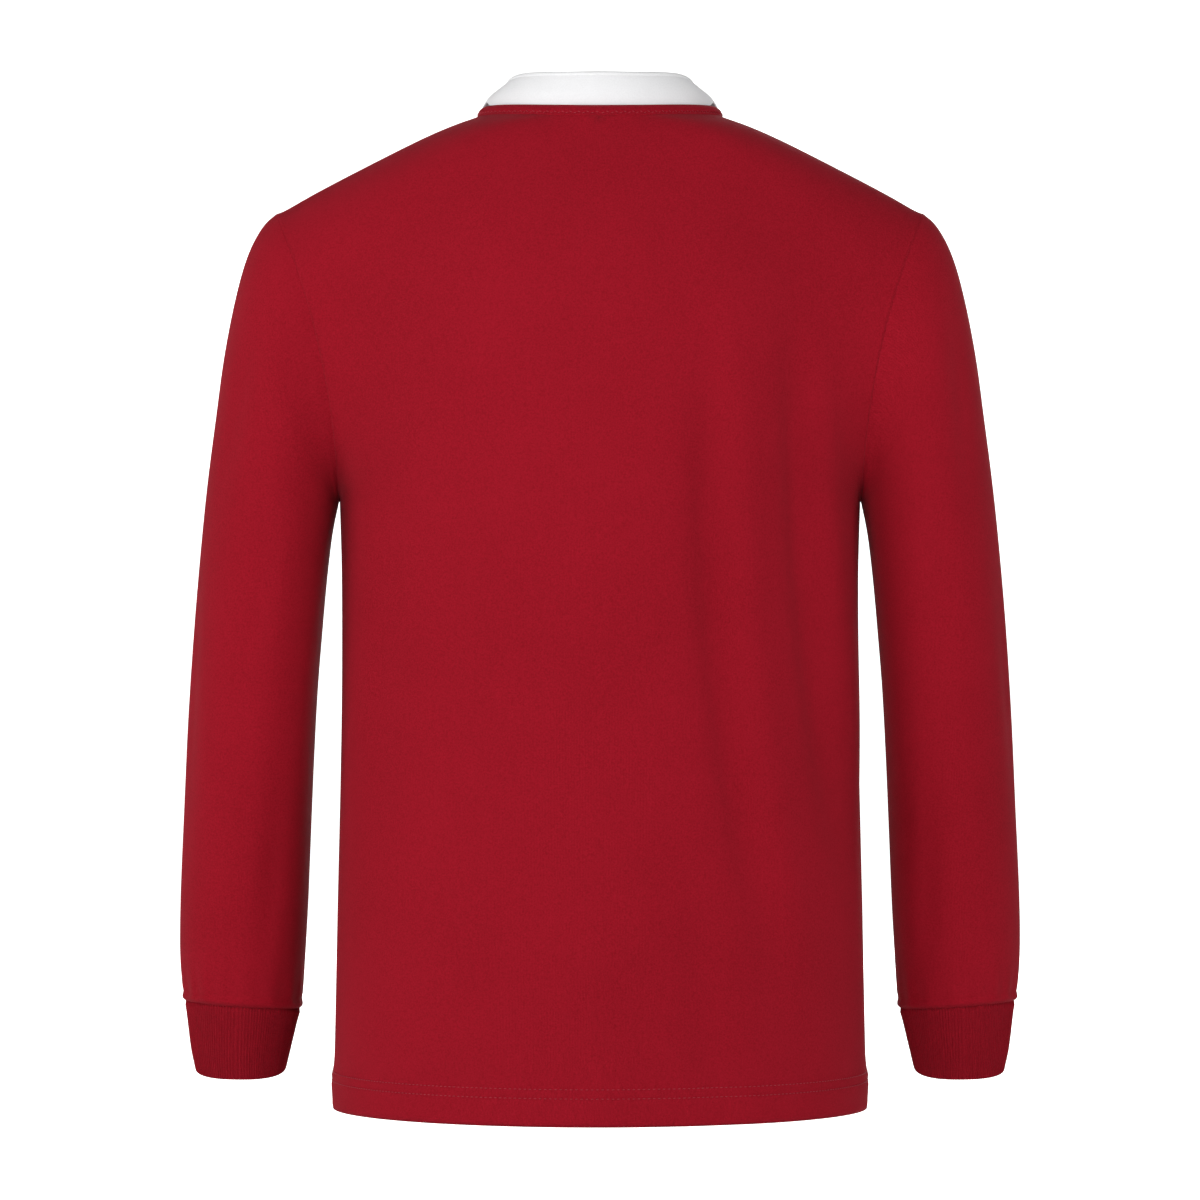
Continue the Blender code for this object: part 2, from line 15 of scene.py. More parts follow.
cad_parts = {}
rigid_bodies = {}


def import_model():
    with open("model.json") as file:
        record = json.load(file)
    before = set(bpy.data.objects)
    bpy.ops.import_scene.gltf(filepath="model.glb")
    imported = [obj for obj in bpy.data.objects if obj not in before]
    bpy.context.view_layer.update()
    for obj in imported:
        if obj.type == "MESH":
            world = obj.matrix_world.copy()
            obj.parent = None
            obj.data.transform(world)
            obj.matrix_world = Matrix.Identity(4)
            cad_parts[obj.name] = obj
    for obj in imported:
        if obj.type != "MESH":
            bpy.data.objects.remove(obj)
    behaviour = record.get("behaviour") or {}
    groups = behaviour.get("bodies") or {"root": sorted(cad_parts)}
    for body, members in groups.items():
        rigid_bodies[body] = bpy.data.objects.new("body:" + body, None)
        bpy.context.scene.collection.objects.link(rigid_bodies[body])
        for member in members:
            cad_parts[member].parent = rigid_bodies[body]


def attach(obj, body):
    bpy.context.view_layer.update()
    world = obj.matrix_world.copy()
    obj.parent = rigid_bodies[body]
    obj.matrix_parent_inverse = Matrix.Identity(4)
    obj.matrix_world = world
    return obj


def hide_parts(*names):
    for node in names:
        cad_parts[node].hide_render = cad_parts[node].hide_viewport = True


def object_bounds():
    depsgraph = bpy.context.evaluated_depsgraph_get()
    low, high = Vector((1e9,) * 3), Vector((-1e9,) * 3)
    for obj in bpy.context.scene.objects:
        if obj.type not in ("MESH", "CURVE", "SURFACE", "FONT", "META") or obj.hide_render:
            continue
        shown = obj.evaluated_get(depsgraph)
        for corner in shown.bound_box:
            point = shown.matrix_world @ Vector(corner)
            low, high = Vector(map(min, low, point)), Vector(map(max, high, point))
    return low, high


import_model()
CAD_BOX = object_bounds()
SHIRT_LOW, SHIRT_HIGH = (Vector(corner) for corner in CAD_BOX)
print("the packed shirt measures", [round(side, 4) for side in SHIRT_HIGH - SHIRT_LOW])

# %% [markdown]
# ## Camera, floor and light
# A shirt shown from behind at chest height needs a long lens, so that the sleeves keep their true
# width. A white sweep, floor and wall in one, keeps the ground plain. One large soft light from the
# wearer's left, one beside it and a weaker one from the right model the folds without hard shadows.

# %% Camera
CAMERA_HEIGHT = -0.356
CAMERA_DISTANCE = 3.08
VIEW_WIDTH = 0.876         # width of the view at the middle of the shirt
SENSOR_WIDTH = 36.0

camera_data = bpy.data.cameras.new("camera")
camera_data.sensor_width = SENSOR_WIDTH
camera_data.lens = SENSOR_WIDTH * CAMERA_DISTANCE / VIEW_WIDTH
camera = bpy.data.objects.new("camera", camera_data)
camera.location = (0.0, CAMERA_DISTANCE, CAMERA_HEIGHT)
camera.rotation_euler = (radians(90), 0.0, radians(180))
bpy.context.scene.collection.objects.link(camera)
bpy.context.scene.camera = camera
bpy.context.scene.view_settings.view_transform = "Standard"
print("the lens is", round(camera_data.lens, 1), "mm")

# %% Sweep of white paper, world and lights
FLOOR_DROP = 0.12          # the paper lies this far below the hem, out of the camera's way
SWEEP_RADIUS = 4.5


def make_paint(name, colour, roughness):
    """A plain matte material."""
    material = bpy.data.materials.new(name)
    material.use_nodes = True
    shader = material.node_tree.nodes["Principled BSDF"]
    shader.inputs["Base Color"].default_value = (*colour, 1.0)
    shader.inputs["Roughness"].default_value = roughness
    shader.inputs["Emission Color"].default_value = (1.0, 1.0, 1.0, 1.0)
    return material


def make_sweep():
    """A round floor with a wall all round, turned from one profile."""
    mesh = bmesh.new()
    floor = SHIRT_LOW.z - FLOOR_DROP
    profile = [(0.0, 0.0)] + [(SWEEP_RADIUS - 1 + sin(a), 1 - cos(a)) for a in
                              (radians(15 * i) for i in range(7))] + [(SWEEP_RADIUS, 4.0)]
    verts = [mesh.verts.new((x, 0.0, floor + z)) for x, z in profile]
    edges = [mesh.edges.new(pair) for pair in zip(verts, verts[1:])]
    bmesh.ops.spin(
        mesh, geom=verts + edges, cent=(0, 0, 0), axis=(0, 0, 1), angle=2 * pi, steps=48,
        use_merge=True,
    )
    bmesh.ops.remove_doubles(mesh, verts=mesh.verts, dist=0.0001)
    data = bpy.data.meshes.new("sweep")
    mesh.to_mesh(data)
    mesh.free()
    data.shade_smooth()
    data.materials.append(make_paint("white_paper", (0.93, 0.93, 0.93), 0.9))
    sweep = bpy.data.objects.new("sweep", data)
    bpy.context.scene.collection.objects.link(sweep)
    return sweep


def light_for_camera_only(material, strength):
    """The paper glows white to the eye, but lends the shirt none of that light."""
    tree = material.node_tree
    path = tree.nodes.new("ShaderNodeLightPath")
    glow = tree.nodes.new("ShaderNodeMath")
    glow.operation = "MULTIPLY"
    glow.inputs[1].default_value = strength
    tree.links.new(path.outputs["Is Camera Ray"], glow.inputs[0])
    tree.links.new(glow.outputs[0], tree.nodes["Principled BSDF"].inputs["Emission Strength"])


sweep = make_sweep()
light_for_camera_only(sweep.data.materials[0], 1.0)

world = bpy.data.worlds.new("soft_room")
world.use_nodes = True
world.node_tree.nodes["Background"].inputs["Color"].default_value = (1.0, 1.0, 1.0, 1.0)
world.node_tree.nodes["Background"].inputs["Strength"].default_value = 0.05
bpy.context.scene.world = world

Lamp = namedtuple("Lamp", "name x y z width power")
LAMPS = (
    Lamp("key_high_left", 1.3, 3.0, 0.9, 1.4, 38.5),
    Lamp("key_side_left", 2.5, 1.2, 0.3, 1.2, 24.0),
    Lamp("fill_from_right", -2.2, 2.3, 0.7, 1.4, 30.5),
    Lamp("front_side", -0.6, -3.0, 0.5, 1.6, 48.0),
)
for lamp in LAMPS:
    light = bpy.data.lights.new(lamp.name, "AREA")
    light.size = lamp.width
    light.energy = lamp.power
    holder = bpy.data.objects.new(lamp.name, light)
    holder.location = (lamp.x, lamp.y, lamp.z)
    aim = Vector((0.0, 0.0, -0.36)) - holder.location
    holder.rotation_euler = aim.to_track_quat("-Z", "Y").to_euler()
    bpy.context.scene.collection.objects.link(holder)
print("lights:", len(LAMPS))

# %% [markdown]
# ## The cut of the shirt
# The shells must lie where the solids lie, so they use the same sizes and the same rules: half
# ellipses below the underarm, strips from the armhole to the neck above it, and tilted ovals down the
# sleeve. Tables with named columns keep the sizes readable. A sculpted mesh could look as good, but
# nobody could change its size afterwards.

# %% Sizes of the body, the neck and the sleeves
JERSEY = 0.0018            # thickness of the body and sleeve cloth
RIB = 0.0022               # thickness of the cuff rib
TWILL = 0.0016             # thickness of the collar cloth
BINDING = 0.0030           # thickness of the doubled neck binding
SEAM_GAP = 0.0003          # free space between neighbouring pieces

# The body, from the hem up to the underarm: an upright half ellipse at the back and one at the front.
BodySection = namedtuple("BodySection", "height half_width back_depth front_depth")
BODY_SECTIONS = (
    BodySection(-0.726, 0.1945, 0.122, 0.125),
    BodySection(-0.600, 0.1920, 0.119, 0.122),
    BodySection(-0.450, 0.1888, 0.114, 0.121),
    BodySection(-0.340, 0.1885, 0.116, 0.126),
    BodySection(-0.283, 0.1900, 0.119, 0.128),
)

# The armhole: a tilted oval from the underarm over the shoulder tip, scooped towards the body.
UNDERARM = Vector((0.1900, 0.0, -0.2830))
SHOULDER_TIP = Vector((0.2360, 0.0, -0.0745))
SHOULDER_CROWN = 0.0034        # how far the shoulder seam arches over the straight line
ARMHOLE_HALF_DEPTH = 0.066
ARMHOLE_SCOOP = 0.012
ARMHOLE_ORDER = 0.03                   # the sleeve starts this share of a ring away from it
SHOULDER_SEAM_TURN = radians(190)      # the seam lies a little to the front of the shoulder ridge

# Rings round the neck: the edge of the panels, then the top of the binding above it.
NeckRing = namedtuple("NeckRing", "half_width side_y side_z back_y back_z front_y front_z")
PANEL_EDGE = NeckRing(0.0890, -0.008, -0.0030, 0.0690, -0.0090, -0.0940, -0.0770)
NECK_RIM = NeckRing(0.0860, -0.008, 0.0035, 0.0640, -0.0020, -0.0890, -0.0700)
NECK_SEAM_TURN = radians(97)
SHOULDER_TRIM = 0.0025                 # share of a row by which each panel stops short of that seam
BINDING_RISE = 0.0014                  # how far above the edge of the panels the binding starts
BINDING_PROUD = 0.0008                 # how far it stands out from them

# How the strips of a panel run from the armhole to the middle. turn is the share of the way up from
# the underarm to the shoulder seam, swing is how far a strip has turned from straight back or front
# towards the middle, and the two reaches are shares of its length.
Strip = namedtuple("Strip", "turn swing armhole_reach middle_reach")
BACK_STRIPS = (
    Strip(0.00, 0.00, 0.300, 0.470),
    Strip(0.20, 0.46, 0.330, 0.460),
    Strip(0.45, 0.78, 0.340, 0.420),
    Strip(0.70, 0.90, 0.335, 0.360),
    Strip(1.00, 1.00, 0.333, 0.333),
)
FRONT_STRIPS = (
    Strip(0.00, 0.00, 0.300, 0.470),
    Strip(0.20, 0.46, 0.330, 0.460),
    Strip(0.45, 0.78, 0.340, 0.420),
    Strip(0.70, 0.90, 0.335, 0.360),
    Strip(1.00, 1.00, 0.333, 0.333),
)
BACK_NECK_START = 10 / 18    # share of the strips that end below the neck, back and front
FRONT_NECK_START = 9 / 18

# Points on the middle of the back and of the chest, from the underarm up to the neck.
MiddlePoint = namedtuple("MiddlePoint", "height depth")
BACK_MIDDLE = (
    MiddlePoint(-0.283, 0.119),
    MiddlePoint(-0.200, 0.119),
    MiddlePoint(-0.120, 0.109),
    MiddlePoint(-0.060, 0.092),
    MiddlePoint(-0.009, 0.069),
)
FRONT_MIDDLE = (
    MiddlePoint(-0.283, 0.128),
    MiddlePoint(-0.215, 0.128),
    MiddlePoint(-0.140, 0.117),
    MiddlePoint(-0.077, 0.094),
)

# The sleeve: oval rings from the armhole to the cuff seam. Each has its outermost and innermost point
# in the front view, its half depth, how far its middle lies to the back, its forward tilt in degrees
# and its squareness (1 is an ellipse, smaller is squarer).
SleeveRing = namedtuple(
    "SleeveRing", "order outer_x outer_z inner_x inner_z half_depth middle_y tilt squareness"
)
SLEEVE_RINGS = (
    SleeveRing(0, 0.2360, -0.0745, 0.1900, -0.2830, 0.066, 0.000, 0, 1.00),
    SleeveRing(1, 0.2475, -0.0865, 0.1908, -0.2850, 0.067, 0.000, 0, 1.00),
    SleeveRing(2, 0.2575, -0.1070, 0.1914, -0.2880, 0.068, 0.000, 0, 1.00),
    SleeveRing(3, 0.2660, -0.1380, 0.1925, -0.2930, 0.068, 0.000, 0, 0.98),
    SleeveRing(4, 0.2740, -0.1790, 0.1942, -0.3010, 0.067, -0.001, 1, 0.96),
    SleeveRing(5, 0.2802, -0.2240, 0.1965, -0.3150, 0.066, -0.002, 2, 0.95),
    SleeveRing(6, 0.2861, -0.2680, 0.1998, -0.3430, 0.064, -0.004, 3, 0.94),
    SleeveRing(7, 0.2914, -0.3150, 0.2032, -0.3790, 0.062, -0.007, 4, 0.93),
    SleeveRing(8, 0.2970, -0.3750, 0.2070, -0.4240, 0.060, -0.011, 6, 0.92),
    SleeveRing(9, 0.3018, -0.4400, 0.2101, -0.4760, 0.058, -0.017, 7, 0.92),
    SleeveRing(10, 0.3056, -0.5080, 0.2128, -0.5290, 0.055, -0.025, 7, 0.92),
    SleeveRing(11, 0.3090, -0.5720, 0.2154, -0.5800, 0.052, -0.033, 5, 0.92),
    SleeveRing(12, 0.3100, -0.6190, 0.2182, -0.6230, 0.050, -0.039, 1, 0.92),
    SleeveRing(13, 0.3078, -0.6520, 0.2212, -0.6585, 0.048, -0.043, -3, 0.92),
)
CUFF_RINGS = (
    SleeveRing(0, 0.3060, -0.6526, 0.2226, -0.6591, 0.0465, -0.0432, -3, 0.88),
    SleeveRing(1, 0.3046, -0.6710, 0.2262, -0.6755, 0.0440, -0.0462, 0, 0.86),
    SleeveRing(2, 0.3027, -0.6875, 0.2298, -0.6905, 0.0420, -0.0490, 4, 0.84),
    SleeveRing(3, 0.2996, -0.7025, 0.2330, -0.7035, 0.0400, -0.0517, 7, 0.80),
)

# The largest folds. A fold is a soft trough that runs down a panel, bowed sideways in the middle;
# side is +1 on the back and -1 on the front. width is the half width of the trough.
Fold = namedtuple("Fold", "side top_x top_z foot_x foot_z bow width depth")
BODY_FOLDS = (
    Fold(1, -0.078, -0.170, -0.122, -0.600, 0.010, 0.016, 0.0042),
    Fold(1, -0.140, -0.160, -0.178, -0.560, 0.008, 0.014, 0.0055),
    Fold(-1, -0.132, -0.180, -0.150, -0.520, -0.008, 0.017, 0.0045),
    Fold(-1, 0.120, -0.170, 0.096, -0.470, 0.009, 0.018, 0.0040),
)

# The collar: a section for each turn round the neck, in degrees from the middle of the back. fold is
# the top of the fold and bow the control point that rounds the fall, both measured outward from the
# neck rim and up from it. At the back the free edge of the fall stands at edge_out, edge_up, tucked
# inside the rim. At the front it lies on the chest: lay is 1 there, spread is how far it reaches along
# the panel towards the armhole, and drop how far down the panel.
CollarSection = namedtuple(
    "CollarSection", "turn fold_out fold_up bow_out bow_up edge_out edge_up lay spread drop"
)
COLLAR_SECTIONS = (
    CollarSection(0, -0.0130, 0.0250, -0.0040, 0.009, -0.0046, -0.001, 0.0, 0.00, 0.00),
    CollarSection(45, -0.0175, 0.0238, -0.0050, 0.009, -0.0050, -0.001, 0.0, 0.00, 0.00),
    CollarSection(80, -0.0205, 0.0202, -0.0055, 0.009, -0.0060, 0.001, 0.0, 0.00, 0.00),
    CollarSection(97, -0.0185, 0.0185, -0.0030, 0.011, -0.0020, 0.006, 0.0, 0.00, 0.00),
    CollarSection(112, -0.0130, 0.0165, 0.0075, 0.014, 0.0080, 0.006, 0.85, 0.083, 0.073),
    CollarSection(130, -0.0100, 0.0150, 0.0115, 0.014, 0.0080, 0.006, 1.0, 0.151, 0.081),
    CollarSection(150, -0.0080, 0.0135, 0.0130, 0.012, 0.0080, 0.006, 1.0, 0.250, 0.120),
    CollarSection(165, -0.0070, 0.0120, 0.0140, 0.010, 0.0080, 0.006, 1.0, 0.257, 0.134),
    CollarSection(175, -0.0060, 0.0110, 0.0140, 0.008, 0.0080, 0.006, 1.0, 0.221, 0.118),
)
COLLAR_END = radians(175)
COLLAR_FOOT = (0.0009, -0.0095)        # the foot of the stand, from the rim: outward and up
COLLAR_BEND = (-0.0078, -0.0010)       # where the stand turns inward behind the binding
COLLAR_LIFT = 0.0055                   # how far the leaves stay above the chest
FOLD_RADIUS = 0.0024

# The placket: two strips that close the slit at the front of the neck, and their buttons.
SLIT_FOOT_ROWS = 3         # rows from the underarm up to the foot of the slit
SLIT_HALF_WIDTH = 0.0130
PLACKET_HALF_WIDTH = 0.0165
PLACKET_THICKNESS = 0.0024
BUTTON_RADIUS = 0.0060
BUTTON_THICKNESS = 0.0026
BUTTON_CLIMBS = (1.44, 1.31, 1.18)

# %% Smooth reading of a table
def between(table, position):
    """The row of a table at a position in its first column, on a smooth curve through the rows."""
    keys = [row[0] for row in table]
    rising = keys[-1] > keys[0]
    if not rising:
        table, keys = table[::-1], keys[::-1]
    position = min(max(position, keys[0]), keys[-1])
    low = max(i for i in range(len(keys) - 1) if keys[i] <= position)
    span = keys[low + 1] - keys[low]
    share = (position - keys[low]) / span

    def slope(index, column):
        before, after = max(index - 1, 0), min(index + 1, len(keys) - 1)
        return (table[after][column] - table[before][column]) / (keys[after] - keys[before])

    values = []
    for column in range(len(table[0])):
        start, end = table[low][column], table[low + 1][column]
        rise_in, rise_out = slope(low, column) * span, slope(low + 1, column) * span
        cube, square = share ** 3, share ** 2
        values.append(
            start * (2 * cube - 3 * square + 1) + rise_in * (cube - 2 * square + share)
            + end * (3 * square - 2 * cube) + rise_out * (cube - square)
        )
    return type(table[0])(*values)


def smooth_step(low, high, value):
    share = min(max((value - low) / (high - low), 0.0), 1.0)
    return share * share * (3 - 2 * share)


def power(value, exponent):
    """A power that keeps its sign, for squared-off ovals."""
    return abs(value) ** exponent * (1 if value >= 0 else -1)

# %% Armhole, neck and strips
def armhole_point(angle):
    """A point on the left armhole: 0 at the underarm, rising over the back to pi at the shoulder."""
    middle = (UNDERARM + SHOULDER_TIP) / 2
    rise = (SHOULDER_TIP - UNDERARM) / 2
    inward = Vector((-rise.z, 0.0, rise.x)).normalized()
    depth = Vector((0.0, ARMHOLE_HALF_DEPTH * sin(angle), 0.0))
    return middle - rise * cos(angle) + depth + inward * ARMHOLE_SCOOP * sin(angle) ** 2


def neck_point(ring, turn):
    """A point on a neck ring: 0 at the middle of the back, pi at the middle of the front."""
    along = cos(turn)
    if along >= 0:
        y = ring.side_y + (ring.back_y - ring.side_y) * along
        z = ring.side_z + (ring.back_z - ring.side_z) * along ** 2
    else:
        y = ring.side_y + (ring.side_y - ring.front_y) * along
        z = ring.side_z + (ring.front_z - ring.side_z) * along ** 2
    return Vector((ring.half_width * power(sin(turn), 0.92), y, z))


def panel_row_ends(side, climb):
    """Where a strip starts at the armhole and ends at the middle or the neck. climb is 0 to 1."""
    if side > 0:
        turn = climb * SHOULDER_SEAM_TURN
        neck_start, neck_low, middle = BACK_NECK_START, 0.0, BACK_MIDDLE
    else:
        turn = 2 * pi - climb * (2 * pi - SHOULDER_SEAM_TURN)
        neck_start, neck_low, middle = FRONT_NECK_START, pi, FRONT_MIDDLE
    start = armhole_point(turn)
    if climb <= neck_start:
        height = middle[0].height + (middle[-1].height - middle[0].height) * climb / neck_start
        end = Vector((0.0, side * between(middle, height).depth, height))
    else:
        share = (climb - neck_start) / (1 - neck_start)
        end = neck_point(PANEL_EDGE, neck_low + (NECK_SEAM_TURN - neck_low) * share)
    return start, end


def strip_point(side, climb, inward):
    """A point on the upper part of a panel: climb from underarm to shoulder, inward from the armhole."""
    start, end = panel_row_ends(side, climb)
    strip = between(BACK_STRIPS if side > 0 else FRONT_STRIPS, climb)
    neck_start = BACK_NECK_START if side > 0 else FRONT_NECK_START
    across = (end - start).normalized()
    length = (end - start).length
    straight_out = Vector((0.0, float(side), 0.0))
    leave = (straight_out * (1 - strip.swing) + across * strip.swing).normalized()
    neck_share = smooth_step(neck_start, 1.0, climb)
    arrive = (Vector((1.0, 0.0, 0.0)) * (1 - neck_share) - across * neck_share).normalized()
    start = start + leave * SEAM_GAP
    first = start + leave * strip.armhole_reach * length
    second = end + arrive * strip.middle_reach * length
    rest = 1 - inward
    point = (
        start * rest ** 3 + first * 3 * rest ** 2 * inward
        + second * 3 * rest * inward ** 2 + end * inward ** 3
    )
    along = (start.x - point.x) / (start.x - end.x)
    crown = SHOULDER_CROWN * (1 - (2 * along - 1) ** 4) * smooth_step(0.5, 1.0, climb)
    return point + Vector((0.0, 0.0, crown))


def sleeve_point(table, order, turn):
    """A point on the left sleeve or cuff: turn runs from the underarm seam over the back."""
    ring = between(table, order)
    outer = Vector((ring.outer_x, 0.0, ring.outer_z))
    inner = Vector((ring.inner_x, 0.0, ring.inner_z))
    middle = (outer + inner) / 2 + Vector((0.0, ring.middle_y, 0.0))
    rise = (outer - inner) / 2
    tilt = radians(ring.tilt)
    backward = Vector((0.0, cos(tilt), -sin(tilt))) * ring.half_depth
    point = middle - rise * power(cos(turn), ring.squareness)
    point += backward * power(sin(turn), ring.squareness)
    if table is SLEEVE_RINGS and order < 3:
        inward = Vector((-rise.z, 0.0, rise.x)).normalized()
        point += inward * ARMHOLE_SCOOP * sin(turn) ** 2 * (1 - order / 3) ** 2
    return point


def neck_frame(turn):
    """The point of the neck rim at a turn, and the level direction away from the neck there."""
    step = 0.01
    along = neck_point(NECK_RIM, turn + step) - neck_point(NECK_RIM, turn - step)
    return neck_point(NECK_RIM, turn), Vector((-along.y, along.x, 0.0)).normalized()

# %% [markdown]
# ## Creases
# Each crease is a soft trough with its own line, width and depth, and a positive and a negative one
# side by side make a ridge. They are listed one by one: two long ones run down the right of the back,
# and short ones gather above the cuffs and beside the armholes.

# %% Creases of the body
CREASES = BODY_FOLDS + (
    Fold(1, -0.094, -0.180, -0.146, -0.640, 0.012, 0.017, -0.0036),
    Fold(1, -0.074, -0.240, -0.118, -0.600, 0.010, 0.012, 0.0022),
    Fold(1, -0.158, -0.180, -0.188, -0.480, 0.005, 0.010, -0.0022),
    Fold(1, 0.152, -0.230, 0.168, -0.560, -0.004, 0.018, 0.0016),
    Fold(1, -0.070, -0.560, -0.088, -0.740, 0.004, 0.018, 0.0022),
    Fold(1, -0.030, -0.600, -0.050, -0.740, 0.004, 0.020, 0.0012),
    Fold(-1, 0.150, -0.150, 0.168, -0.430, -0.004, 0.012, 0.0030),
    Fold(-1, -0.160, -0.150, -0.176, -0.400, 0.004, 0.012, 0.0026),
    Fold(-1, 0.080, -0.330, 0.062, -0.640, 0.006, 0.014, -0.0024),
    Fold(-1, 0.055, -0.420, 0.040, -0.700, 0.006, 0.020, 0.0022),
    Fold(-1, -0.070, -0.450, -0.095, -0.740, 0.004, 0.020, 0.0024),
)
HEM_LINES = (0.0200, 0.0265)   # two rows of stitches, this far above the hem edge
HEM_STEP = 0.0008              # the turned hem stands out this much
CREASE_DEPTH = 1.35            # the fine shell takes the creases this much deeper than the solids


def fold_offset(side, point):
    """How far the cloth sinks at a point, from the creases on its side of the body."""
    sink = 0.0
    for fold in CREASES:
        if fold.side != side:
            continue
        share = (point.z - fold.top_z) / (fold.foot_z - fold.top_z)
        fade = smooth_step(-0.12, 0.25, share) * (1 - smooth_step(0.65, 1.15, share))
        line = fold.top_x + (fold.foot_x - fold.top_x) * share + fold.bow * sin(pi * share)
        sink += fold.depth * fade * exp(-(((point.x - line) / fold.width) ** 2))
    return sink


def hem_offset(above_hem):
    """The turned hem is two layers: it stands out, and each row of stitches pulls a small groove."""
    out = HEM_STEP * (1 - smooth_step(HEM_LINES[1], HEM_LINES[1] + 0.003, above_hem))
    for line in HEM_LINES:
        out -= 0.0006 * exp(-(((above_hem - line) / 0.0012) ** 2))
    return out - 0.0006 * exp(-((above_hem / 0.0018) ** 2))


def panel_point(side, across, climb):
    """A point on the smooth form of the back (side +1) or front (side -1).

    across runs from -1 at the right seam over 0 in the middle to +1 at the left seam. climb runs from
    0 at the hem over 1 at the underarm to 2 at the shoulder seam.
    """
    inward = 1 - abs(across)
    hem = BODY_SECTIONS[0].height
    if climb <= 1:
        height = hem + (UNDERARM.z - hem) * climb
        section = between(BODY_SECTIONS, height)
        depth = section.back_depth if side > 0 else section.front_depth
        angle = inward * pi / 2
        point = Vector((section.half_width * cos(angle), side * depth * sin(angle), height))
        bulge = 0.0012 * exp(-((inward / 0.05) ** 2)) * exp(-(((height - hem - 0.020) / 0.012) ** 2))
        point.x += bulge
    else:
        point = strip_point(side, climb - 1, inward)
    if across < 0:
        point.x = -point.x
    return point


def panel_relief(side, point):
    """How far a point of the panel moves outward for its creases and its hem."""
    hem = BODY_SECTIONS[0].height
    return hem_offset(point.z - hem) - CREASE_DEPTH * fold_offset(side, point)


def level_out(point):
    """The level direction away from the middle of the body."""
    return Vector((point.x, point.y, 0.0)).normalized()


print("creases on the body:", len(CREASES))

# %% [markdown]
# ## Cloth as a fine shell
# Every piece is a bmesh grid whose points a function puts in place. The grid's own shares become its
# UV map in metres, so that wales, ribs and twill lines follow the cloth round a bend. Solidify then
# gives the shell the thickness of the cloth, inward, away from the visible face.

# %% A helper that makes cloth
SMOOTH_PASSES = 60


def cloth_object(name, columns, rows, places, thickness, material, size, drop=None, offset=-1.0,
                 relief=None):
    """A shell of cloth. size is its width and length in metres, which scale the UV map.

    With relief, which gives the outward move of a point, the form is first smoothed off its edges.
    """
    mesh = bmesh.new()
    uv_layer = mesh.loops.layers.uv.new("cloth")
    for place in places:
        grid = bmesh.ops.create_grid(mesh, x_segments=columns, y_segments=rows, size=0.5)["verts"]
        faces = {face for vertex in grid for face in vertex.link_faces}
        centre = Vector((0.5, 0.5, 0.0))
        cut = [face for face in faces if drop and drop(place, face.calc_center_median() + centre)]
        for face in faces:
            for loop in face.loops:
                share = loop.vert.co + centre
                loop[uv_layer].uv = (share.x * size[0], share.y * size[1])
        bmesh.ops.delete(mesh, geom=cut, context="FACES")
        for vertex in grid:
            if vertex.is_valid:
                vertex.co = place(vertex.co.x + 0.5, vertex.co.y + 0.5)
    bmesh.ops.remove_doubles(mesh, verts=mesh.verts, dist=0.00002)
    if relief:
        inner = [vertex for vertex in mesh.verts if not vertex.is_boundary]
        for _ in range(SMOOTH_PASSES):
            bmesh.ops.smooth_vert(
                mesh, verts=inner, factor=0.5, use_axis_x=True, use_axis_y=True, use_axis_z=True
            )
        for vertex in mesh.verts:
            vertex.co += level_out(vertex.co) * relief(vertex.co)
    data = bpy.data.meshes.new(name)
    mesh.to_mesh(data)
    mesh.free()
    data.materials.append(material)
    data.shade_smooth()
    piece = bpy.data.objects.new(name, data)
    bpy.context.scene.collection.objects.link(piece)
    if thickness:
        wall = piece.modifiers.new("Wall", "SOLIDIFY")
        wall.thickness = thickness
        wall.offset = offset
    print(name, "has", len(data.polygons), "faces before its wall")
    return piece


def dress(piece, slot_name, *nodes):
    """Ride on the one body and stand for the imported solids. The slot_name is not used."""
    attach(piece, "root")
    if nodes:
        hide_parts(*nodes)
    return piece


# %% [markdown]
# ## Jersey, rib, twill and thread
# The jersey is a fine single knit with a short nap. Seen close, it is a grain of light and dark loops
# rather than one red, so a fine noise speckles the colour and a wale wave and a noise lift it in bump.
# Sheen gives the pale bloom at the edges. The rib and the twill use the same node recipe with other
# scales.

# %% Cloth materials
def add_node(tree, kind, **values):
    node = tree.nodes.new(kind)
    for name, value in values.items():
        setattr(node, name, value)
    return node


